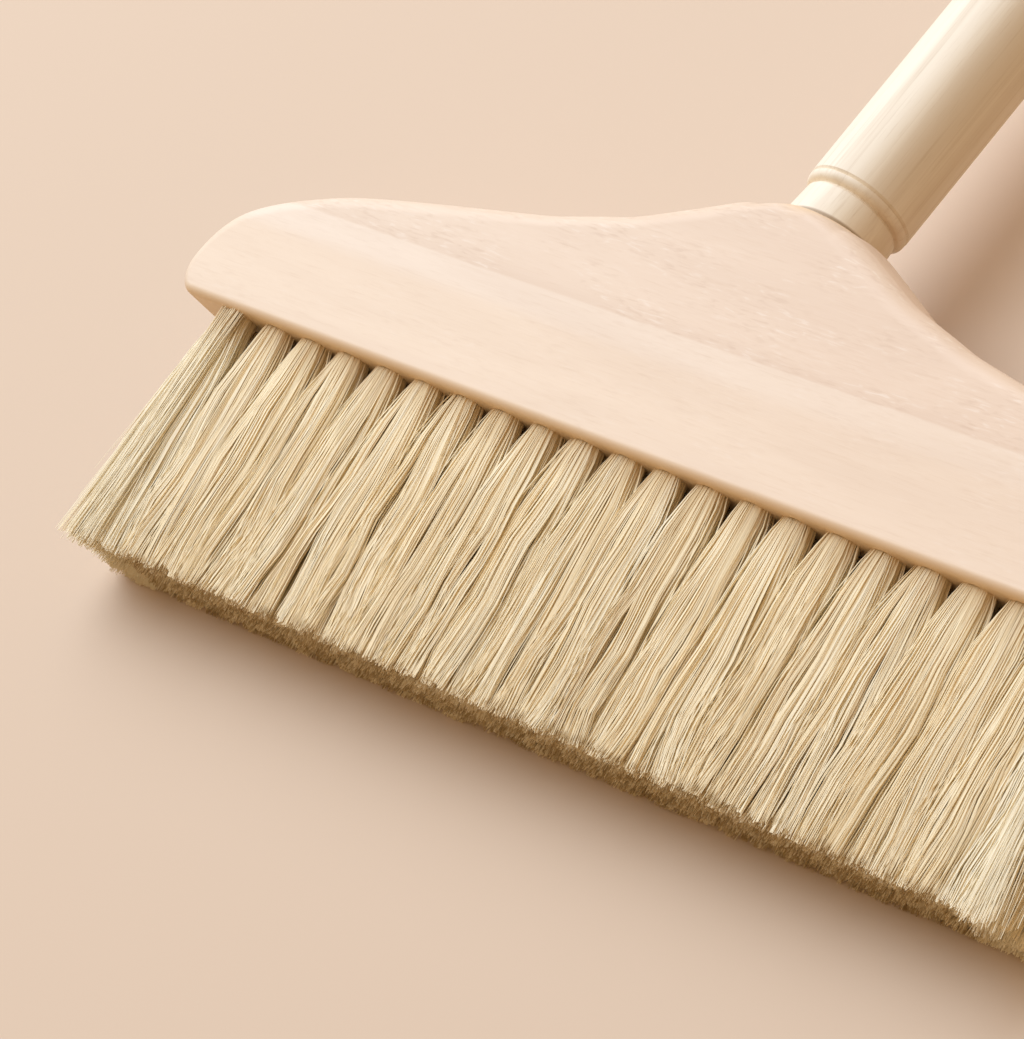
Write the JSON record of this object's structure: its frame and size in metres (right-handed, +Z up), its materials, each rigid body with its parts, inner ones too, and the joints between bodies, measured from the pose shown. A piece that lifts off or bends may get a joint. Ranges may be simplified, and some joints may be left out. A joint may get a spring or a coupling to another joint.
{
  "type": "indoor broom",
  "caption": "Floor broom with a long wooden head, soft bristle tufts in parallel rows, and a round wooden pole that leans back from the head and plugs into its hump.",
  "frame": {"origin": "on the ground plane, under the middle of the broom as it lies on its back", "axes": "+Y along the pole from the bristle tips to the pole's free end, +X along the head, +Z up from the ground the broom lies on"},
  "size_m": [0.297, 1.3027, 0.0422],
  "materials": {
    "head_wood": "oiled light beech, satin, with fine flecks along the grain",
    "pole_wood": "pale straight-grained wood, sanded and oiled, satin",
    "bristle": "blond natural hair, matt, darker and fuzzy at the cut tips"
  },
  "bodies": {
    "head": {"head_block": "head_wood", "bristle_column_01": "bristle", "bristle_column_02": "bristle", "bristle_column_03": "bristle", "bristle_column_04": "bristle", "bristle_column_05": "bristle", "bristle_column_06": "bristle", "bristle_column_07": "bristle", "bristle_column_08": "bristle", "bristle_column_09": "bristle", "bristle_column_10": "bristle", "bristle_column_11": "bristle", "bristle_column_12": "bristle", "bristle_column_13": "bristle", "bristle_column_14": "bristle", "bristle_column_15": "bristle", "bristle_column_16": "bristle", "bristle_column_17": "bristle", "bristle_column_18": "bristle", "bristle_column_19": "bristle", "bristle_column_20": "bristle", "bristle_column_21": "bristle", "bristle_column_22": "bristle"},
    "pole": {"handle": "pole_wood"}
  },
  "joints": [
    {"name": "pole_pull", "type": "slide", "parent": "head", "child": "pole", "axis": [0, 0.9999, -0.0133], "range_m": [0, 0.045]}
  ]
}
